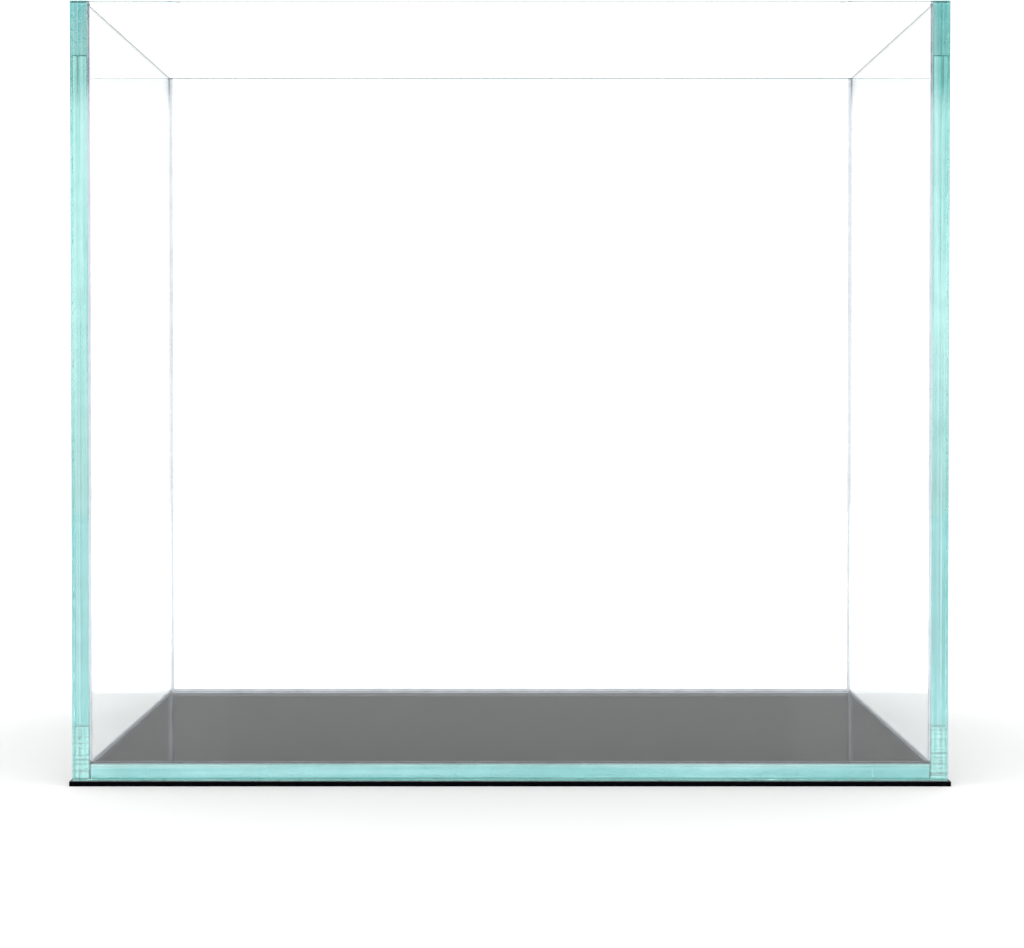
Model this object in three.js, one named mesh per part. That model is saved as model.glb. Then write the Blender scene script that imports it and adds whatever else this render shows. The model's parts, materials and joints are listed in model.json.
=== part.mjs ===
// A rimless glass tank: five panes of clear glass bonded edge to face with silicone, a small tooled
// silicone fillet in every inside corner, and a loose foam levelling mat under the glass.
// Millimetres, +Z up. The origin is the middle of the mat's underside. The front pane faces -Y.

import * as THREE from "three";

// ---------------------------------------------------------------- driving dimensions

const width = 450; // outside of the glass, along X
const depth = 300; // outside of the glass, along Y
const height = 400; // of the glass, along Z
const glass = 8; // thickness of every pane
const arris = 0.4; // width of the 45 degree chamfer ground on every edge of a pane
const bond = 0.4; // thickness of the structural silicone between two panes
const bead = 1.5; // leg of the silicone fillet in an inside corner
const beadSteps = 4; // flats that make up a fillet's hollow face
const matThickness = 2.5; // the mat under the tank's weight
const matOverhang = 1.5; // how far the mat stands out past the glass on each side
const matCornerRadius = 0.5;
const matEdgeEase = 0.15; // small chamfer that the die leaves on the mat's rim
const contact = 0.02; // clearance between two pieces that touch

// ---------------------------------------------------------------- worked-out planes

const glassFoot = matThickness + contact; // underside of the walls and of the bottom pane
const rim = glassFoot + height; // top edge of the walls
const floorTop = glassFoot + glass; // upper face of the bottom pane
const innerX = width / 2 - glass; // inner face of a side pane
const innerY = depth / 2 - glass; // inner face of the front and back panes
const sideLength = 2 * (innerY - bond - contact); // a side pane, between its two bonds
const bottomWidth = 2 * (innerX - bond - contact);
const bottomDepth = sideLength;
const bondWidth = glass - 2 * arris; // silicone fills the flat land between the two chamfers
const bondThickness = bond - contact;
const beadLeg = bead - contact;
const wallBeadFoot = floorTop + bead; // the wall fillets start on top of the bottom fillets

const materials = {
  glass: new THREE.MeshStandardMaterial({
    name: "clear_glass",
    color: 0xd9f2ef,
    roughness: 0.02,
    metalness: 0,
    transparent: true,
    opacity: 0.35,
  }),
  silicone: new THREE.MeshStandardMaterial({
    name: "clear_silicone",
    color: 0xe6eeee,
    roughness: 0.3,
    metalness: 0,
    transparent: true,
    opacity: 0.6,
  }),
  foam: new THREE.MeshStandardMaterial({
    name: "black_foam",
    color: 0x1c1c1d,
    roughness: 0.9,
    metalness: 0,
  }),
};

const rightAngle = Math.PI / 2;

function namedMesh(name, geometry, material, [x, y, z]) {
  const mesh = new THREE.Mesh(geometry, material);
  mesh.name = name;
  mesh.position.set(x, y, z);
  return mesh;
}

// ---------------------------------------------------------------- panes

// A rectangle centred on the origin with its four corners cut off at 45 degrees.
function cutCornerRectangle(across, up, cut) {
  const x = across / 2;
  const y = up / 2;
  return new THREE.Shape([
    new THREE.Vector2(x - cut, -y),
    new THREE.Vector2(x, -y + cut),
    new THREE.Vector2(x, y - cut),
    new THREE.Vector2(x - cut, y),
    new THREE.Vector2(-x + cut, y),
    new THREE.Vector2(-x, y - cut),
    new THREE.Vector2(-x, -y + cut),
    new THREE.Vector2(-x + cut, -y),
  ]);
}

// A pane lying flat on its centre: its faces look along +Z and -Z, and every edge has an arris.
function paneGeometry(across, up) {
  const geometry = new THREE.ExtrudeGeometry(cutCornerRectangle(across, up, arris), {
    depth: glass - 2 * arris,
    bevelEnabled: true,
    bevelSegments: 1,
    bevelThickness: arris,
    bevelSize: arris,
    bevelOffset: -arris,
  });
  return geometry.translate(0, 0, -(glass - 2 * arris) / 2);
}

const wallMiddleZ = glassFoot + height / 2;

// The front or back pane. side is -1 at the front and +1 at the back.
function longWall(name, side) {
  const place = [0, side * (innerY + glass / 2), wallMiddleZ];
  const mesh = namedMesh(name, paneGeometry(width, height), materials.glass, place);
  mesh.rotation.x = rightAngle;
  return mesh;
}

// The left or right pane. side is -1 at the left and +1 at the right.
function sideWall(name, side) {
  const place = [side * (innerX + glass / 2), 0, wallMiddleZ];
  const mesh = namedMesh(name, paneGeometry(height, sideLength), materials.glass, place);
  mesh.rotation.y = rightAngle;
  return mesh;
}

function bottomPane() {
  const place = [0, 0, glassFoot + glass / 2];
  return namedMesh("bottom_pane", paneGeometry(bottomWidth, bottomDepth), materials.glass, place);
}

// ---------------------------------------------------------------- structural silicone

// An upright bond, between a side pane's edge and the front or back pane.
function wallBond(name, sideX, sideY) {
  const geometry = new THREE.BoxGeometry(bondWidth, bondThickness, height - 2 * arris);
  const place = [sideX * (innerX + glass / 2), sideY * (innerY - bond / 2), wallMiddleZ];
  return namedMesh(name, geometry, materials.silicone, place);
}

// A bond between the bottom pane's long edge and the front or back pane.
function bottomLongBond(name, sideY) {
  const geometry = new THREE.BoxGeometry(bottomWidth - 2 * arris, bondThickness, bondWidth);
  const place = [0, sideY * (innerY - bond / 2), glassFoot + glass / 2];
  return namedMesh(name, geometry, materials.silicone, place);
}

// A bond between the bottom pane's short edge and a side pane. It runs from wall to wall, so that it
// closes the corners.
function bottomSideBond(name, sideX) {
  const geometry = new THREE.BoxGeometry(bondThickness, 2 * (innerY - contact), bondWidth);
  const place = [sideX * (innerX - bond / 2), 0, glassFoot + glass / 2];
  return namedMesh(name, geometry, materials.silicone, place);
}

// ---------------------------------------------------------------- silicone fillets

// The section of a fillet: a right angle at the origin with legs along +X and +Y, and a hollow face
// that is a quarter circle about the far corner of the square that the legs make.
function filletShape() {
  const shape = new THREE.Shape();
  shape.moveTo(0, 0);
  shape.lineTo(beadLeg, 0);
  for (let step = 1; step < beadSteps; step += 1) {
    const turn = (rightAngle * step) / beadSteps;
    shape.lineTo(beadLeg - beadLeg * Math.sin(turn), beadLeg - beadLeg * Math.cos(turn));
  }
  shape.lineTo(0, beadLeg);
  return shape;
}

// A fillet of this length, centred on the origin along Z, its square corner along the Z axis.
function filletGeometry(length) {
  const settings = { depth: length, bevelEnabled: false };
  return new THREE.ExtrudeGeometry(filletShape(), settings).translate(0, 0, -length / 2);
}

// Four names of one ring, with the quarter turns that point the section's legs into the tank.
const corners = [
  { name: "front_left", x: -1, y: -1, turns: 0 },
  { name: "front_right", x: 1, y: -1, turns: 1 },
  { name: "back_right", x: 1, y: 1, turns: 2 },
  { name: "back_left", x: -1, y: 1, turns: 3 },
];

function wallBead({ name, x, y, turns }) {
  const length = rim - arris - wallBeadFoot;
  const place = [x * (innerX - contact), y * (innerY - contact), wallBeadFoot + length / 2];
  const mesh = namedMesh(`${name}_bead`, filletGeometry(length), materials.silicone, place);
  mesh.rotation.z = turns * rightAngle;
  return mesh;
}

// A bottom fillet lies along a group's X axis, against a wall on the group's -Y side. The group is
// turned about Z to face each wall.
function bottomBead(name, length, reach, turns) {
  const mesh = namedMesh(name, filletGeometry(length), materials.silicone, [
    0,
    -reach + contact,
    floorTop + contact,
  ]);
  mesh.rotation.set(rightAngle, 0, rightAngle, "ZYX");
  const group = new THREE.Group();
  group.rotation.z = turns * rightAngle;
  group.add(mesh);
  return group;
}

// ---------------------------------------------------------------- levelling mat

function roundedRectangle(across, up, radius) {
  const x = across / 2;
  const y = up / 2;
  const shape = new THREE.Shape();
  shape.moveTo(-x + radius, -y);
  shape.absarc(x - radius, -y + radius, radius, -rightAngle, 0);
  shape.absarc(x - radius, y - radius, radius, 0, rightAngle);
  shape.absarc(-x + radius, y - radius, radius, rightAngle, 2 * rightAngle);
  shape.absarc(-x + radius, -y + radius, radius, 2 * rightAngle, 3 * rightAngle);
  return shape;
}

function levellingMat() {
  const across = width + 2 * matOverhang;
  const back = depth + 2 * matOverhang;
  const geometry = new THREE.ExtrudeGeometry(roundedRectangle(across, back, matCornerRadius), {
    depth: matThickness - 2 * matEdgeEase,
    curveSegments: 4,
    bevelEnabled: true,
    bevelSegments: 1,
    bevelThickness: matEdgeEase,
    bevelSize: matEdgeEase,
    bevelOffset: -matEdgeEase,
  });
  return namedMesh("levelling_mat", geometry, materials.foam, [0, 0, matEdgeEase]);
}

// ---------------------------------------------------------------- the whole tank

const aquarium = new THREE.Group();
const tank = new THREE.Group();
aquarium.add(levellingMat(), tank);

tank.add(longWall("front_pane", -1), longWall("back_pane", 1));
tank.add(sideWall("left_pane", -1), sideWall("right_pane", 1));
tank.add(bottomPane());

for (const corner of corners) {
  tank.add(wallBond(`${corner.name}_bond`, corner.x, corner.y));
  tank.add(wallBead(corner));
}
tank.add(bottomLongBond("bottom_front_bond", -1), bottomLongBond("bottom_back_bond", 1));
tank.add(bottomSideBond("bottom_left_bond", -1), bottomSideBond("bottom_right_bond", 1));

// The long bottom fillets run from wall to wall, and the short ones fit between them.
const longBead = 2 * (innerX - contact);
const shortBead = 2 * (innerY - bead - contact);
tank.add(bottomBead("bottom_front_bead", longBead, innerY, 0));
tank.add(bottomBead("bottom_right_bead", shortBead, innerX, 1));
tank.add(bottomBead("bottom_back_bead", longBead, innerY, 2));
tank.add(bottomBead("bottom_left_bead", shortBead, innerX, 3));

export default aquarium;
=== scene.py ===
# %% [markdown]
# # A rimless glass tank on a foam mat
#
# This lesson dresses a imported CAD model of a glass tank. The CAD model has every part at its real
# size and place: five panes, the silicone between them, the silicone fillets in the corners and the
# foam mat below. Blender adds what a drawing leaves out: clear glass that turns aqua where it is
# seen edge on, the marks that grinding leaves on its edges, soft silicone, foam with a grain, and a
# white studio to see them in.
#
# The frame is loaded first. Everything below takes its place from the frame, so nothing has to be
# fitted by eye.

# %% Load the frame
import json
import math

import bmesh
import bpy
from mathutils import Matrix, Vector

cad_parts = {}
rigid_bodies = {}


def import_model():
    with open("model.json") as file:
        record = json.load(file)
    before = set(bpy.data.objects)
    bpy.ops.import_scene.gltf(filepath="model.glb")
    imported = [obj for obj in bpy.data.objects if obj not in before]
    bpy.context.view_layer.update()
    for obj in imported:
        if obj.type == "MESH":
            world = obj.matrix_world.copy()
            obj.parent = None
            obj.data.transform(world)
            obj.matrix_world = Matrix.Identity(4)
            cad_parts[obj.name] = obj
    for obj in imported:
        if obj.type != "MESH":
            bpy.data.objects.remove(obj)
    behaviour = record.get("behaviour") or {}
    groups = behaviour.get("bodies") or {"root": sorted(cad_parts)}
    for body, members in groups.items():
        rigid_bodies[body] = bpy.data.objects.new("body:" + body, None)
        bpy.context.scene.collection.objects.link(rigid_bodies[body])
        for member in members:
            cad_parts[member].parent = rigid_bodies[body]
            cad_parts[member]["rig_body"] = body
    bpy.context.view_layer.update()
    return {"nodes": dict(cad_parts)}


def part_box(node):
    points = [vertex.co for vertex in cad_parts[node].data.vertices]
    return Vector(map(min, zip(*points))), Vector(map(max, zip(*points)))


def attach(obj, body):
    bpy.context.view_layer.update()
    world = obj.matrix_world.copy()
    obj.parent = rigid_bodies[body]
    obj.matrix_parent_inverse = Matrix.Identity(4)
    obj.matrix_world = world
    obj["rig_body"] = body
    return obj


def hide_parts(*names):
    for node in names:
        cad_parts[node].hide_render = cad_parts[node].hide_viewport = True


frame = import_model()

# %% [markdown]
# ## The camera
#
# A tank is shown from the front, at about half its height, so that it looks square and calm. The
# camera could stand close with a wide lens, or far away with a long one. A long lens from a little
# over a metre keeps the back pane large, so 80 mm is used. The camera is tilted down by one degree
# and its lens is shifted a little, which leaves room for the table under the tank while the upright
# edges stay almost upright. A larger tilt would give the same room and make them lean.

# %% Make the camera
LENS_MM = 80.0
SENSOR_MM = 36.0
CAMERA_DISTANCE = 1.166  # from the front pane's outer face, in metres
CAMERA_HEIGHT = 0.2045  # above the table
CAMERA_ASIDE = 0.001  # to the right of the tank's middle
LEVEL = math.radians(90)  # a camera that isn't turned looks straight down
CAMERA_TILT = math.radians(-1.08)
CAMERA_SHIFT = -0.042  # as a share of the view's width


def make_camera():
    data = bpy.data.cameras.new("studio_camera")
    data.lens = LENS_MM
    data.sensor_width = SENSOR_MM
    data.shift_y = CAMERA_SHIFT
    camera = bpy.data.objects.new("studio_camera", data)
    bpy.context.scene.collection.objects.link(camera)
    front_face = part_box("front_pane")[0].y
    camera.location = (CAMERA_ASIDE, front_face - CAMERA_DISTANCE, CAMERA_HEIGHT)
    camera.rotation_euler = (LEVEL + CAMERA_TILT, 0, 0)
    bpy.context.scene.camera = camera
    return camera


camera = make_camera()
print("camera at", [round(x, 3) for x in camera.location], "lens", LENS_MM, "mm")

# %% [markdown]
# ## Blocks and selections
#
# Every part of this tank starts as a block: a cube primitive stretched to the box of its CAD node.
# A primitive comes in selected all over, and loading the frame left the CAD nodes selected too, so
# each step first deselects everything and then picks the edges it needs by their direction or
# place. The block's place and size are applied to its mesh, so that the finished object sits at the
# origin.

# %% Helpers for adding a block


def deselect_all():
    bpy.ops.object.select_all(action="DESELECT")


def add_block(name, low, high):
    deselect_all()
    bpy.ops.mesh.primitive_cube_add(size=1, location=(low + high) / 2, scale=high - low)
    block = bpy.context.object
    block.name = name
    block.data.name = name
    bpy.ops.object.transform_apply(location=True, rotation=True, scale=True)
    return block


def finish_piece(piece, node):
    """The piece stands for its CAD node: it rides with that node's body, and the node is hidden."""
    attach(piece, frame["nodes"][node]["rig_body"])
    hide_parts(node)
    return piece


print("blocks to make:", len(frame["nodes"]))

# %% Helpers for edit mode
MOSTLY = 0.9  # the share of an edge or a normal that has to lie along an axis
SAME_PLACE = 0.00001  # two coordinates closer than this are the same, in metres


def edit_edges(piece, wanted):
    """Opens piece in edit mode with only the wanted edges selected."""
    deselect_all()
    piece.select_set(True)
    bpy.context.view_layer.objects.active = piece
    bpy.ops.object.mode_set(mode="EDIT")
    bpy.ops.mesh.select_mode(type="EDGE")
    bpy.ops.mesh.select_all(action="DESELECT")
    mesh = bmesh.from_edit_mesh(piece.data)
    for edge in [edge for edge in mesh.edges if wanted(edge)]:
        edge.select_set(True)
    bmesh.update_edit_mesh(piece.data)


def leave_edit():
    bpy.ops.object.mode_set(mode="OBJECT")


def bevel_edges(piece, wanted, width, segments, **settings):
    """Bevels the wanted edges of a piece."""
    edit_edges(piece, wanted)
    bpy.ops.mesh.bevel(offset=width, segments=segments, affect="EDGES", **settings)
    leave_edit()


def runs_along(edge, axis):
    """True if an edge lies along this axis number."""
    span = edge.verts[1].co - edge.verts[0].co
    return abs(span[axis]) > MOSTLY * span.length


def mark_faces(piece, name, share):
    """Gives every polygon a number from 0 to 1 in a named attribute."""
    mark = piece.data.attributes.new(name, "FLOAT", "FACE")
    for polygon in piece.data.polygons:
        mark.data[polygon.index].value = float(share(polygon))


print("axis numbers: 0 is X, 1 is Y, 2 is Z")

# %% [markdown]
# ## The panes
#
# Each pane is cut from float glass, and its raw edges would cut a hand. So they are ground flat,
# polished, and given an arris, a narrow 45 degree chamfer. The arris is small, but it is what draws
# the thin lines round a glass tank, because it throws the light another way than the faces do. The
# Bevel operator makes it in one step, with one flat segment. Where an edge is bonded, silicone
# fills the arris and it can't be seen. So the bevel is made on every edge of the front and back
# panes, on the top and bottom edges of the side panes, and on none of the bottom pane's.
#
# The ground edges look different from the big faces, so each polygon gets a number in an
# attribute: 1 on a ground edge and 0 on a face. One material can then treat them apart. Two
# materials on one pane would also work for the surface, but the glass inside needs a single one.
# A second attribute says how strongly an edge is rippled. It leaves out the edges that silicone
# wets at the front and back, because it fills their ripples and makes them vanish, and it is weak
# on the top edges, which get a finer polish because a hand rests on them.

# %% Model the panes
WALL_ARRIS = 0.0003  # on the front and back panes
SIDE_ARRIS = 0.0004
ARRIS_SEGMENTS = 1  # one flat
FRONT_TO_BACK = 1  # the axis number of Y
UPWARDS = 0.5  # how far the normal of a top edge or of its arris rises, at the least
TOP_RIPPLE = 0.15  # of the ripple on the other edges
THICKNESS_AXIS = {
    "front_pane": 1,
    "back_pane": 1,
    "left_pane": 0,
    "right_pane": 0,
    "bottom_pane": 2,
}


def make_pane(node, axis):
    low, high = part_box(node)
    pane = add_block(node + "_glass", low, high)
    if node in ("front_pane", "back_pane"):
        bevel_edges(pane, lambda edge: True, WALL_ARRIS, ARRIS_SEGMENTS)
    elif node in ("left_pane", "right_pane"):
        bevel_edges(pane, lambda edge: runs_along(edge, FRONT_TO_BACK), SIDE_ARRIS, ARRIS_SEGMENTS)

    def is_ground(polygon):
        return abs(polygon.normal[axis]) < MOSTLY

    def ripple_share(polygon):
        bonded = axis != FRONT_TO_BACK and abs(polygon.normal[FRONT_TO_BACK]) > MOSTLY
        share = TOP_RIPPLE if polygon.normal.z > UPWARDS else 1
        return share if is_ground(polygon) and not bonded else 0

    mark_faces(pane, "ground_edge", is_ground)
    mark_faces(pane, "rippled_edge", ripple_share)
    return finish_piece(pane, node)


panes = {node: make_pane(node, axis) for node, axis in THICKNESS_AXIS.items()}
for node, pane in panes.items():
    print(node, [round(1000 * side, 1) for side in pane.dimensions], "mm")

# %% [markdown]
# ## The silicone between the panes
#
# A bond is a strip of clear silicone squeezed flat between an edge and a face. Its long sides are
# never quite straight, because the glass presses out a little more in one place than in another.
# A plain block would look like plastic film. So the block is cut across its length many times, and
# the points along its two long sides are drawn in by a slow wave, two tenths of a millimetre at the
# most. Two waves of different lengths are added, so that the line doesn't repeat.

# %% Helpers for strips
BOND_STEP = 0.010  # length between two cuts, in metres
BOND_WANDER = 0.0001  # how far a long side is drawn in on average
LONG_WAVE = 0.11  # in radians for each millimetre along the bond
SHORT_WAVE = 0.31


def box_axes(low, high):
    """The axis numbers of a strip's length, width and thickness."""
    size = high - low
    return sorted(range(3), key=lambda axis: -size[axis])


def cut_across(piece, axis, step):
    """Cuts a strip across its length into steps, by subdividing its long edges."""
    length = piece.dimensions[axis]
    edit_edges(piece, lambda edge: runs_along(edge, axis))
    bpy.ops.mesh.subdivide(number_cuts=max(1, round(length / step) - 1))
    leave_edit()


def wander(piece, along_axis, side_axis, middle, seed):
    """Draws the long sides of a strip inwards by a slow wave that doesn't repeat."""
    for vertex in piece.data.vertices:
        millimetres = 1000 * vertex.co[along_axis]
        side = math.copysign(1, vertex.co[side_axis] - middle)
        wave = math.sin(LONG_WAVE * millimetres + seed + side)
        wave = wave + math.sin(SHORT_WAVE * millimetres + 2 * seed)
        vertex.co[side_axis] -= side * BOND_WANDER * (1 + wave / 2)


print("a bond is cut every", 1000 * BOND_STEP, "mm")

# %% Model the bonds
CORNERS = ["front_left", "front_right", "back_left", "back_right"]
FLOOR_SIDES = ["bottom_front", "bottom_back", "bottom_left", "bottom_right"]


def make_bond(place, seed):
    low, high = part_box(place + "_bond")
    length_axis, width_axis, _ = box_axes(low, high)
    bond = add_block(place + "_bond_silicone", low, high)
    cut_across(bond, length_axis, BOND_STEP)
    wander(bond, length_axis, width_axis, (low[width_axis] + high[width_axis]) / 2, seed)
    return finish_piece(bond, place + "_bond")


bonds = [make_bond(place, seed) for seed, place in enumerate(CORNERS + FLOOR_SIDES)]
print("bonds:", len(bonds), "with", sum(len(bond.data.polygons) for bond in bonds), "faces")

# %% [markdown]
# ## The silicone fillets
#
# A bead of silicone is run into every inside corner and drawn smooth with a wet finger or a tool,
# which leaves a hollow face. One way to make it is to sweep a profile along a path. A quicker way
# is to start from a square bar and bevel away its free edge, the one in the open, with a hollow
# profile: the bevel is almost as wide as the bar, so only a hollow triangle is left.

# %% Model the fillets
BEAD_SEGMENTS = 8
HOLLOW_PROFILE = 0.12  # a bevel profile below 0.25 curves inwards
BEVEL_SHARE = 0.97  # of the bar's width, so that a thin lip is left on each leg
BEAD_STEP = 0.015  # length between two cuts, in metres
BEAD_SMOOTHING = math.radians(35)  # a sharper edge than this stays sharp
tank_middle = (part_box("front_left_bead")[0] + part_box("back_right_bead")[1]) / 2


def make_bead(place):
    low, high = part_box(place + "_bead")
    length_axis, *cross_axes = box_axes(low, high)
    bead = add_block(place + "_bead_silicone", low, high)
    free = {}
    for axis in cross_axes:
        centre = (low[axis] + high[axis]) / 2
        free[axis] = high[axis] if centre < tank_middle[axis] else low[axis]

    def is_free_edge(edge):
        return runs_along(edge, length_axis) and all(
            abs(vertex.co[axis] - free[axis]) < SAME_PLACE
            for vertex in edge.verts
            for axis in cross_axes
        )

    width = BEVEL_SHARE * (high - low)[cross_axes[0]]
    hollow = {"profile": HOLLOW_PROFILE, "clamp_overlap": False}
    bevel_edges(bead, is_free_edge, width, BEAD_SEGMENTS, **hollow)
    cut_across(bead, length_axis, BEAD_STEP)
    bpy.ops.object.shade_smooth_by_angle(angle=BEAD_SMOOTHING)
    return finish_piece(bead, place + "_bead")


beads = [make_bead(place) for place in CORNERS + FLOOR_SIDES]
print("fillets:", len(beads), "with", sum(len(bead.data.polygons) for bead in beads), "faces")

# %% [markdown]
# ## The levelling mat
#
# The mat is die-cut from closed-cell foam, so its corners are nearly sharp and its rim stands
# straight. The upright corners of a block are bevelled round first. Then the top and bottom edges
# get a soft bevel of a quarter of a millimetre, where the die drags the foam's skin over. The order
# matters, because the second bevel then runs round the corners too. The cut rim is marked like the
# ground glass edges were, so that the foam material can paint it near black as a painted shade.

# %% Model the mat
UP = 2  # the axis number of Z
MAT_CORNER = 0.0005
CORNER_SEGMENTS = 4
MAT_EASE = 0.00025
EASE_SEGMENTS = 3
MAT_SMOOTHING = math.radians(40)


def make_mat():
    low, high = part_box("levelling_mat")
    mat = add_block("levelling_mat_foam", low, high)
    bevel_edges(mat, lambda edge: runs_along(edge, UP), MAT_CORNER, CORNER_SEGMENTS)

    def is_level(edge):
        return abs(edge.verts[0].co.z - edge.verts[1].co.z) < SAME_PLACE

    bevel_edges(mat, is_level, MAT_EASE, EASE_SEGMENTS)
    # the rim faces, which the foam material paints near black as a painted shade
    mark_faces(mat, "cut_rim", lambda polygon: abs(polygon.normal.z) < MOSTLY)
    bpy.ops.object.shade_smooth_by_angle(angle=MAT_SMOOTHING)
    return finish_piece(mat, "levelling_mat")


mat = make_mat()
print("mat", [round(1000 * side, 2) for side in mat.dimensions], "mm")

# %% [markdown]
# ## Wiring nodes
#
# The materials below are small node trees. A node is made, and each of its inputs takes either a
# plain value or a link from another node. One helper does both, so that a line of code reads like
# one step of the recipe. The inputs of a Math node share one name, and a Mix node has a set of
# inputs for each type of data, so these are found by their number.

# %% Helpers for node trees
MIX_NUMBER_INPUTS = (0, 2, 3)  # the factor, and the two numbers
MIX_COLOUR_INPUTS = (0, 6, 7)  # the factor, and the two colours
MIX_COLOUR_OUTPUT = 2


def new_material(name):
    material = bpy.data.materials.new(name)
    material.use_nodes = True
    return material, material.node_tree, material.node_tree.nodes["Principled BSDF"]


def feed(tree, socket, value):
    """Links a socket to an output, or sets it to a plain value."""
    if isinstance(value, bpy.types.NodeSocket):
        tree.links.new(value, socket)
    else:
        socket.default_value = value


def add_node(tree, kind, settings=None, **inputs):
    """Adds a node with its settings, and feeds the inputs given by name."""
    node = tree.nodes.new(kind)
    for name, value in (settings or {}).items():
        setattr(node, name, value)
    for name, value in inputs.items():
        feed(tree, node.inputs[name.replace("_", " ")], value)
    return node


def calculate(tree, operation, first, second=0.0):
    node = tree.nodes.new("ShaderNodeMath")
    node.operation = operation
    feed(tree, node.inputs[0], first)
    feed(tree, node.inputs[1], second)
    return node.outputs[0]


def mix_numbers(tree, share, first, second):
    node = tree.nodes.new("ShaderNodeMix")
    for index, value in zip(MIX_NUMBER_INPUTS, (share, first, second)):
        feed(tree, node.inputs[index], value)
    return node.outputs[0]


def mix_colours(tree, share, first, second):
    node = tree.nodes.new("ShaderNodeMix")
    node.data_type = "RGBA"
    for index, value in zip(MIX_COLOUR_INPUTS, (share, first, second)):
        feed(tree, node.inputs[index], value)
    return node.outputs[MIX_COLOUR_OUTPUT]


def ramp(tree, value, start, end, first=0.0, last=1.0):
    """Goes smoothly from first to last while the value goes from start to end."""
    node = add_node(tree, "ShaderNodeMapRange", {"interpolation_type": "SMOOTHSTEP"}, Value=value)
    limits = {"From Min": start, "From Max": end, "To Min": first, "To Max": last}
    for name, number in limits.items():
        feed(tree, node.inputs[name], number)
    return node.outputs[0]


def above(tree, value, limit):
    """One where the value is over the limit, and nought elsewhere."""
    return calculate(tree, "GREATER_THAN", value, limit)


print("inputs of a colour mix:", MIX_COLOUR_INPUTS)

# %% [markdown]
# ## The marks and the painted shade on a ground edge
#
# A grinding wheel runs along the edge of a pane. It leaves fine streaks that follow the edge, and
# shallow ripples across it where the wheel chattered. Both show, because the light inside a pane
# leaves through its edges. The streaks could be painted on a picture, but a noise that is squeezed
# across the pane's thickness and stretched along its length gives them at any size. Their deep aqua
# tint is also painted shade: it darkens the ground edges all over, where a real tank's edges look
# darker because less light reaches them.
#
# Panes that face three ways need three stretches, so the recipe is a node group with the stretch
# as an input. It puts out a tint, which holds the streaks and the painted shade, and a height, and
# both are switched off on the faces of the pane by the attributes that the modelling step wrote.

# %% Make the ground edge group
WHITE = (1.0, 1.0, 1.0, 1.0)
STREAK_DETAIL = 2.0
STREAK_ROUGHNESS = 0.6
STREAK_CONTRAST = (0.38, 0.62)  # the noise from fully deep to fully pale
RIPPLE_DETAIL = 0.0  # one smooth wave, with no smaller ones on it


def new_group(name, inputs, outputs):
    group = bpy.data.node_groups.new(name, "ShaderNodeTree")
    for socket_name, kind in inputs:
        group.interface.new_socket(name=socket_name, in_out="INPUT", socket_type=kind)
    for socket_name, kind in outputs:
        group.interface.new_socket(name=socket_name, in_out="OUTPUT", socket_type=kind)
    return group, group.nodes.new("NodeGroupInput"), group.nodes.new("NodeGroupOutput")


def make_noise(tree, cells_per_metre, detail):
    """Noise with its own number of cells along each axis, so that it can be stretched."""
    place = tree.nodes.new("ShaderNodeTexCoord")
    stretch = tree.nodes.new("ShaderNodeVectorMath")
    stretch.operation = "MULTIPLY"
    tree.links.new(place.outputs["Object"], stretch.inputs[0])
    feed(tree, stretch.inputs[1], cells_per_metre)
    stretched = stretch.outputs[0]
    return add_node(tree, "ShaderNodeTexNoise", Vector=stretched, Scale=1.0, Detail=detail)


def make_ground_edge_group():
    group, given, result = new_group(
        "ground_edge_marks_and_shade",
        [
            ("Streak Scale", "NodeSocketVector"),
            ("Ripple Scale", "NodeSocketVector"),
            ("Deep Streak And Shade Tint", "NodeSocketColor"),
            ("Pale Tint", "NodeSocketColor"),
        ],
        [("Tint", "NodeSocketColor"), ("Ripple", "NodeSocketFloat")],
    )
    ground = add_node(group, "ShaderNodeAttribute", {"attribute_name": "ground_edge"})
    rippled = add_node(group, "ShaderNodeAttribute", {"attribute_name": "rippled_edge"})
    streak = make_noise(group, given.outputs["Streak Scale"], STREAK_DETAIL)
    streak.inputs["Roughness"].default_value = STREAK_ROUGHNESS
    share = ramp(group, streak.outputs[0], *STREAK_CONTRAST)
    # the tint runs from the deep end, which is painted shade along with the grinding streaks, to
    # clear
    tint = mix_colours(group, share, given.outputs["Deep Streak And Shade Tint"], given.outputs["Pale Tint"])
    shown = mix_colours(group, ground.outputs["Fac"], WHITE, tint)
    ripple = make_noise(group, given.outputs["Ripple Scale"], RIPPLE_DETAIL)
    height = calculate(group, "MULTIPLY", ripple.outputs[0], rippled.outputs["Fac"])
    group.links.new(shown, result.inputs["Tint"])
    group.links.new(height, result.inputs["Ripple"])
    return group


ground_edge_marks_and_shade = make_ground_edge_group()
print("group inputs:", [item.name for item in ground_edge_marks_and_shade.interface.items_tree])

# %% [markdown]
# ## Clear glass
#
# Low-iron glass is clear through its thickness and pale aqua through its length. A painted tint
# would colour the faces too. Volume Absorption takes light away with every millimetre of glass, so
# the colour appears by itself where light runs along inside a pane. It takes red away first. On the
# ground edges the group adds a painted shade as well, a deep aqua tint that darkens them.
#
# The three materials have the same glass, and differ in their marks. A streak is two or three
# millimetres wide across the thickness and fifteen centimetres or more long. A ripple runs the
# other way, from face to face, and the next one follows about every two centimetres. The ripples
# are shallower on the front and back panes.

# %% Make the glass
GLASS_IOR = 1.52
ABSORPTION_DENSITY = 10.0
ABSORPTION_COLOUR = (0.80, 0.96, 0.95, 1.0)
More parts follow.
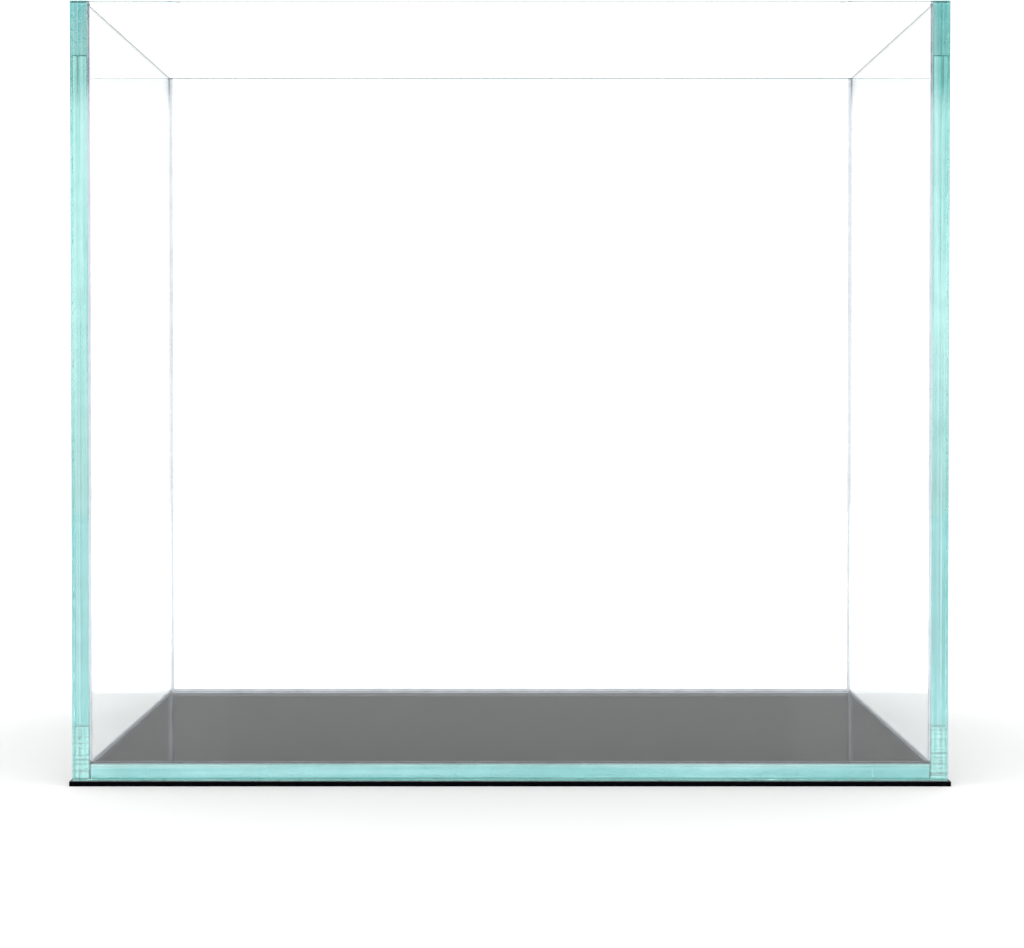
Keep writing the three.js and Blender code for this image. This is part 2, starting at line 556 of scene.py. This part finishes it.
# painted shade with grinding streaks: the deep end of the ground edges' tint darkens their aqua
DEEP_STREAK_AND_SHADE_TINT = (0.46, 0.76, 0.74, 1.0)
PALE_TINT = WHITE
ACROSS = 450.0  # streaks per metre across the thickness
BOTTOM_ACROSS = 315.0  # wider ones on the bottom pane
ALONG = 6.0  # streaks per metre along an edge
RIPPLES = 60.0  # ripples per metre along an edge
STROKE = 15.0  # across it, less than one in the thickness, so that a ripple is one stroke
WALL_RIPPLE = 0.0002  # how high a ripple stands, in metres
SHORT_RIPPLE = 0.0006


def make_glass(name, streak_scale, ripple_scale, ripple_depth):
    material, tree, shader = new_material(name)
    shader.inputs["Roughness"].default_value = 0.0
    shader.inputs["IOR"].default_value = GLASS_IOR
    shader.inputs["Transmission Weight"].default_value = 1.0
    # the group paints the grinding streaks and the painted shade on the ground edges
    edge_marks_and_shade = tree.nodes.new("ShaderNodeGroup")
    edge_marks_and_shade.node_tree = ground_edge_marks_and_shade
    edge_marks_and_shade.inputs["Streak Scale"].default_value = streak_scale
    edge_marks_and_shade.inputs["Ripple Scale"].default_value = ripple_scale
    edge_marks_and_shade.inputs["Deep Streak And Shade Tint"].default_value = DEEP_STREAK_AND_SHADE_TINT
    edge_marks_and_shade.inputs["Pale Tint"].default_value = PALE_TINT
    tree.links.new(edge_marks_and_shade.outputs["Tint"], shader.inputs["Base Color"])
    bump = add_node(tree, "ShaderNodeBump", Height=edge_marks_and_shade.outputs["Ripple"], Distance=ripple_depth)
    tree.links.new(bump.outputs[0], shader.inputs["Normal"])
    absorb = add_node(
        tree, "ShaderNodeVolumeAbsorption", Color=ABSORPTION_COLOUR, Density=ABSORPTION_DENSITY
    )
    tree.links.new(absorb.outputs[0], tree.nodes["Material Output"].inputs["Volume"])
    return material


side_glass = make_glass(
    "side_glass", (ACROSS, ALONG, ALONG), (STROKE, RIPPLES, RIPPLES), SHORT_RIPPLE
)
long_glass = make_glass(
    "long_glass", (ALONG, ACROSS, ALONG), (RIPPLES, STROKE, RIPPLES), WALL_RIPPLE
)
bottom_glass = make_glass(
    "bottom_glass", (ALONG, ALONG, BOTTOM_ACROSS), (RIPPLES, RIPPLES, STROKE), SHORT_RIPPLE
)
glass_by_axis = (side_glass, long_glass, bottom_glass)
for node, axis in THICKNESS_AXIS.items():
    panes[node].data.materials.append(glass_by_axis[axis])
    print(node, "is made of", glass_by_axis[axis].name)

# %% [markdown]
# ## Silicone
#
# Clear silicone isn't as clear as glass. It is a little milky, so an upright joint shows as a soft
# grey line against a white wall. The milkiness could be a scattering volume, but the strips are
# thinner than two millimetres, so a grey base colour on a see-through surface gives the same look
# for much less work. A slow noise makes it a little denser in one place than in the next.
#
# A fillet was drawn smooth by a finger, so its free face is satin. A bond is wetted by glass on
# both sides, so its faces are almost as smooth as the glass, and it is too thin to look milky. The
# two materials share one group for the cloudy colour and have their own roughness.

# %% Make the silicone
SILICONE_IOR = 1.41
CLOUDS_PER_METRE = (90.0, 90.0, 90.0)
CLOUD_DETAIL = 3.0
CLOUD_CONTRAST = (0.3, 0.7)
DENSE_FILLET = (0.60, 0.62, 0.68, 1.0)
CLEAR_FILLET = (0.72, 0.74, 0.79, 1.0)
DENSE_BOND = (0.90, 0.92, 0.92, 1.0)
FILLET_ROUGHNESS = (0.05, 0.12)  # where it is dense, and where it is clear
BOND_ROUGHNESS = (0.0, 0.01)


def make_cloud_group():
    group, given, result = new_group(
        "silicone_cloud",
        [("Dense", "NodeSocketColor"), ("Clear", "NodeSocketColor")],
        [("Colour", "NodeSocketColor"), ("Cloud", "NodeSocketFloat")],
    )
    cloud = make_noise(group, CLOUDS_PER_METRE, CLOUD_DETAIL)
    share = ramp(group, cloud.outputs[0], *CLOUD_CONTRAST)
    colour = mix_colours(group, share, given.outputs["Dense"], given.outputs["Clear"])
    group.links.new(colour, result.inputs["Colour"])
    group.links.new(share, result.inputs["Cloud"])
    return group


def make_silicone(name, dense, clear, roughness):
    material, tree, shader = new_material(name)
    shader.inputs["IOR"].default_value = SILICONE_IOR
    shader.inputs["Transmission Weight"].default_value = 1.0
    cloud = tree.nodes.new("ShaderNodeGroup")
    cloud.node_tree = silicone_cloud
    cloud.inputs["Dense"].default_value = dense
    cloud.inputs["Clear"].default_value = clear
    tree.links.new(cloud.outputs["Colour"], shader.inputs["Base Color"])
    rough = ramp(tree, cloud.outputs["Cloud"], 0.0, 1.0, *roughness)
    tree.links.new(rough, shader.inputs["Roughness"])
    return material


silicone_cloud = make_cloud_group()
fillet_silicone = make_silicone("fillet_silicone", DENSE_FILLET, CLEAR_FILLET, FILLET_ROUGHNESS)
bond_silicone = make_silicone("bond_silicone", DENSE_BOND, WHITE, BOND_ROUGHNESS)
for bead in beads:
    bead.data.materials.append(fillet_silicone)
for bond in bonds:
    bond.data.materials.append(bond_silicone)
print("silicone on", len(beads), "fillets and", len(bonds), "bonds")

# %% [markdown]
# ## Foam
#
# The mat's skin is charcoal with a fine grain of closed cells, and the cut rim is painted nearly
# black as a painted shade. The grain could be modelled, but it is a millimetre or two across and
# nearly flat. So a noise of that size varies the colour and lifts a bump, a slower noise makes the
# sheet a little uneven, and the attribute from the modelling step paints the shade on the rim. The
# grain is a little longer from front to back, the way the sheet was rolled.

# %% Make the foam
SKIN_DARK = (0.064, 0.055, 0.054, 1.0)
SKIN_LIGHT = (0.177, 0.161, 0.158, 1.0)
# painted shade: the cut rim is painted near black
PAINTED_SHADE_RIM_COLOUR = (0.002, 0.002, 0.003, 1.0)
FOAM_ROUGHNESS = 0.85
CELLS_PER_METRE = (700.0, 450.0, 700.0)
CELL_DETAIL = 2.0
CELL_CONTRAST = (0.35, 0.65)
CELL_DEPTH = 0.0001
PATCHES_PER_METRE = (45.0, 45.0, 45.0)
PATCH_DETAIL = 3.0
PATCH_CONTRAST = (0.2, 0.8)
PATCH_SHARE = 0.2  # the rest of the colour's change is the cells' own


def make_foam():
    material, tree, shader = new_material("black_foam")
    shader.inputs["Roughness"].default_value = FOAM_ROUGHNESS
    shader.inputs["Specular IOR Level"].default_value = 0.0
    cells = make_noise(tree, CELLS_PER_METRE, CELL_DETAIL)
    patches = make_noise(tree, PATCHES_PER_METRE, PATCH_DETAIL)
    grain = ramp(tree, cells.outputs[0], *CELL_CONTRAST)
    mottle = ramp(tree, patches.outputs[0], *PATCH_CONTRAST)
    share = mix_numbers(tree, PATCH_SHARE, grain, mottle)
    skin = mix_colours(tree, share, SKIN_DARK, SKIN_LIGHT)
    rim = add_node(tree, "ShaderNodeAttribute", {"attribute_name": "cut_rim"})
    # painted shade: the rim faces take the near-black rim colour
    colour = mix_colours(tree, rim.outputs["Fac"], skin, PAINTED_SHADE_RIM_COLOUR)
    tree.links.new(colour, shader.inputs["Base Color"])
    bump = add_node(tree, "ShaderNodeBump", Height=cells.outputs[0], Distance=CELL_DEPTH)
    tree.links.new(bump.outputs[0], shader.inputs["Normal"])
    return material


mat.data.materials.append(make_foam())
print("grain in mm:", [round(1000 / cells, 1) for cells in CELLS_PER_METRE])

# %% [markdown]
# ## The light of the studio
#
# Clear glass shows only what is round it, so the light is a matter of what each ray meets. A real
# product studio does this with a white wall, grey cards and small lamps aimed at the edges. Lamps
# would have to be moved for every view. Here the world does it for all views, by asking the Light
# Path node how often a ray was mirrored and how many faces it went through on its way:
#
# - a ray that was never mirrored meets the white wall, and so does the light on matt surfaces;
# - a ray that was mirrored meets a bright wall near the horizon, a dark band above it, which keeps
#   the tank's floor from shining white, and a white ceiling higher up. The band is darker for a ray
#   that was mirrored twice or more, and has a shade of its own for a ray that went through more
#   than two panes, such as one that came off the underside of the tank's floor;
# - a ray that ran along inside a pane meets the light that the ground edges glow with. It is a
#   little brighter above the horizon and fades higher up, so that ripples in an edge can be seen.
#
# Such an inner ray is told by its two counts. It was mirrored at least three times. If the pane's
# ends are bare, it went through two faces. If they are bonded, it also went through the silicone
# and the walls, which makes ten faces, or fewer where it missed a bond.

# %% Tell the rays that ran along inside a pane
HALF = 0.5  # put between two whole counts, so that a count is clearly above or below
TWO_PANES = 4  # faces that a ray goes through in the front and back panes
OFTEN = 3  # times that a ray was mirrored inside a pane, at the least
BARE_ENDS = 2  # faces, in at one bare end and out at the other
MISSED_BOND = 6
BONDED_ENDS = 10


def at_least(tree, value, count):
    return above(tree, value, count - HALF)


def ran_inside(tree, path):
    """The share of inner light in a ray. A ray that missed a bond gets half of it."""
    mirrors = path.outputs["Glossy Depth"]
    faces = path.outputs["Transmission Depth"]
    halves = calculate(
        tree, "ADD", at_least(tree, faces, MISSED_BOND), at_least(tree, faces, BONDED_ENDS)
    )
    bonded = calculate(tree, "MULTIPLY", halves, 0.5)
    bare = calculate(tree, "LESS_THAN", faces, BARE_ENDS + HALF)
    either = calculate(tree, "MAXIMUM", bonded, bare)
    return calculate(tree, "MULTIPLY", at_least(tree, mirrors, OFTEN), either)


print("faces from one bonded end to the other:", BONDED_ENDS)

# %% Make the world
DIRECT_LIGHT = 1.28
DIFFUSE_LIGHT = 1.28
MIRROR_WALL = 1.1
MIRROR_SHADE = 0.11
SECOND_SHADE = 0.02
DEEP_SHADE = 0.13
MIRROR_ABOVE = 1.0
INNER_WALL = 0.95
INNER_BRIGHT = 1.19
INNER_ABOVE = 0.65
# The heights between which the light changes. 0 is level and 1 is straight up.
WALL_TO_BAND = (0.118, 0.132)
BAND_TO_CEILING = (0.22, 0.4)
INNER_HORIZON = (-0.05, 0.05)
INNER_FADE = (0.15, 0.25)


def make_world():
    world = bpy.data.worlds.new("white_studio")
    world.use_nodes = True
    world.cycles.sampling_method = "NONE"  # so that each ray asks for itself
    tree = world.node_tree
    path = tree.nodes.new("ShaderNodeLightPath")
    place = tree.nodes.new("ShaderNodeTexCoord")
    direction = add_node(tree, "ShaderNodeSeparateXYZ", Vector=place.outputs["Generated"])
    height = direction.outputs["Z"]
    mirrored = at_least(tree, path.outputs["Glossy Depth"], 1)
    twice = at_least(tree, path.outputs["Glossy Depth"], 2)
    scattered = at_least(tree, path.outputs["Diffuse Depth"], 1)
    deep = at_least(tree, path.outputs["Transmission Depth"], TWO_PANES + 1)
    shade = mix_numbers(tree, twice, MIRROR_SHADE, SECOND_SHADE)
    shade = mix_numbers(tree, deep, shade, DEEP_SHADE)
    mirror_light = ramp(tree, height, *WALL_TO_BAND, MIRROR_WALL, shade)
    ceiling = ramp(tree, height, *BAND_TO_CEILING)
    mirror_light = mix_numbers(tree, ceiling, mirror_light, MIRROR_ABOVE)
    inner_light = ramp(tree, height, *INNER_HORIZON, INNER_WALL, INNER_BRIGHT)
    fade = ramp(tree, height, *INNER_FADE)
    inner_light = mix_numbers(tree, fade, inner_light, INNER_ABOVE)
    light = mix_numbers(tree, mirrored, DIRECT_LIGHT, mirror_light)
    light = mix_numbers(tree, ran_inside(tree, path), light, inner_light)
    light = mix_numbers(tree, scattered, light, DIFFUSE_LIGHT)
    background = tree.nodes["Background"]
    background.inputs["Color"].default_value = WHITE
    tree.links.new(light, background.inputs["Strength"])
    return world


bpy.context.scene.world = make_world()
print("world:", DIRECT_LIGHT, "direct,", DIFFUSE_LIGHT, "on matt surfaces")

# %% [markdown]
# ## The white card
#
# The side panes are seen at a shallow angle, so they mirror the room like the tank's floor does. To
# keep their tops white in spite of the dark band, a card hangs behind the tank at the height that
# only they can mirror. Its material is clear to every ray that wasn't mirrored, so the card can't
# be seen itself and casts no shadow. It is clear to the rays that ran inside a pane too, because
# the world has its own light for those.

# %% Make the white card
CARD_GAP = 0.45  # behind the back pane, in metres
CARD_LOW = 0.40  # its lower edge, above the table
CARD_HIGH = 0.95
CARD_WIDTH = 2.0
CARD_LIGHT = 1.15
UPRIGHT = (math.radians(90), 0, 0)


def make_card():
    deselect_all()
    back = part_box("back_pane")[1].y + CARD_GAP
    middle = (0, back, (CARD_LOW + CARD_HIGH) / 2)
    bpy.ops.mesh.primitive_plane_add(size=1, location=middle, rotation=UPRIGHT)
    card = bpy.context.object
    card.name = "white_card"
    card.scale = (CARD_WIDTH, CARD_HIGH - CARD_LOW, 1)
    bpy.ops.object.transform_apply(location=True, rotation=True, scale=True)
    material, tree, shader = new_material("card_light")
    path = tree.nodes.new("ShaderNodeLightPath")
    mirrored = at_least(tree, path.outputs["Glossy Depth"], 1)
    often = at_least(tree, path.outputs["Glossy Depth"], OFTEN)
    scattered = at_least(tree, path.outputs["Diffuse Depth"], 1)
    hidden = calculate(tree, "ADD", often, scattered)
    shown = calculate(tree, "SUBTRACT", mirrored, hidden)
    glow = add_node(tree, "ShaderNodeEmission", Strength=CARD_LIGHT)
    clear = tree.nodes.new("ShaderNodeBsdfTransparent")
    blend = tree.nodes.new("ShaderNodeMixShader")
    feed(tree, blend.inputs[0], calculate(tree, "MAXIMUM", shown, 0.0))
    feed(tree, blend.inputs[1], clear.outputs[0])
    feed(tree, blend.inputs[2], glow.outputs[0])
    tree.links.new(blend.outputs[0], tree.nodes["Material Output"].inputs["Surface"])
    tree.nodes.remove(shader)
    card.data.materials.append(material)
    return card


card = make_card()
print("card", [round(side, 2) for side in card.dimensions], "m")

# %% [markdown]
# ## The table
#
# The table is matt white and larger than the view. The light on it is even, so the only shade is
# the soft one that the tank and its mat make by standing on it.
#
# Two panes take about a sixth of the light away, which would grey the table behind the tank. A real
# studio lights that part of the table harder. The material does the same: it gives off some light
# of its own to a ray that came through just two panes. A ray that ran along inside a pane meets a
# cooler white, because the lowest edges of a tank look more blue than green. It is brightest close
# to the tank.

# %% Make the table
TABLE_RADIUS = 2.5
TABLE_SIDES = 96
TABLE_WHITE = (0.95, 0.95, 0.95, 1.0)
TABLE_THROUGH_GLASS = 0.70
TABLE_INNER_COLOUR = (0.82, 1.0, 1.05, 1.0)
TABLE_CLOSE = 0.97  # the inner light's strength close to the tank, then near it and far behind it
TABLE_NEAR = 0.84
TABLE_FAR = 0.95
CLOSE_TO_NEAR = (0.25, 0.6)  # metres behind the tank's middle
NEAR_TO_FAR = (0.9, 2.2)


def make_table():
    deselect_all()
    bpy.ops.mesh.primitive_circle_add(radius=TABLE_RADIUS, vertices=TABLE_SIDES, fill_type="NGON")
    table = bpy.context.object
    table.name = "studio_table"
    material, tree, shader = new_material("white_table")
    shader.inputs["Base Color"].default_value = TABLE_WHITE
    shader.inputs["Roughness"].default_value = 1.0
    shader.inputs["Specular IOR Level"].default_value = 0.0
    path = tree.nodes.new("ShaderNodeLightPath")
    faces = path.outputs["Transmission Depth"]
    unscattered = calculate(tree, "LESS_THAN", path.outputs["Diffuse Depth"], HALF)
    through_two = at_least(tree, faces, TWO_PANES)
    through_more = at_least(tree, faces, TWO_PANES + 1)
    only_two = calculate(tree, "SUBTRACT", through_two, through_more)
    lift = calculate(tree, "MULTIPLY", only_two, unscattered)
    feed(tree, shader.inputs["Emission Color"], lift)
    shader.inputs["Emission Strength"].default_value = TABLE_THROUGH_GLASS
    place = tree.nodes.new("ShaderNodeTexCoord")
    spot = add_node(tree, "ShaderNodeSeparateXYZ", Vector=place.outputs["Object"])
    near = ramp(tree, spot.outputs["Y"], *CLOSE_TO_NEAR, TABLE_CLOSE, TABLE_NEAR)
    strength = ramp(tree, spot.outputs["Y"], *NEAR_TO_FAR, near, TABLE_FAR)
    glow = add_node(tree, "ShaderNodeEmission", Color=TABLE_INNER_COLOUR, Strength=strength)
    blend = tree.nodes.new("ShaderNodeMixShader")
    for index, value in enumerate((ran_inside(tree, path), shader.outputs[0], glow.outputs[0])):
        feed(tree, blend.inputs[index], value)
    tree.links.new(blend.outputs[0], tree.nodes["Material Output"].inputs["Surface"])
    table.data.materials.append(material)
    return table


table = make_table()
print("table", round(table.dimensions.x, 2), "m across")

# %% [markdown]
# ## Colour and light paths
#
# The Standard view keeps white at full white, where a film-like view would grey it. Light runs
# along inside a pane by bouncing from face to face many times, so the limits on bounces are raised.

# %% Set colour and light paths
MOST_BOUNCES = 32
MOST_MIRRORINGS = 24

scene = bpy.context.scene
scene.view_settings.view_transform = "Standard"
scene.cycles.max_bounces = MOST_BOUNCES
scene.cycles.transmission_bounces = MOST_BOUNCES
scene.cycles.glossy_bounces = MOST_MIRRORINGS
print("light paths of up to", scene.cycles.max_bounces, "bounces")
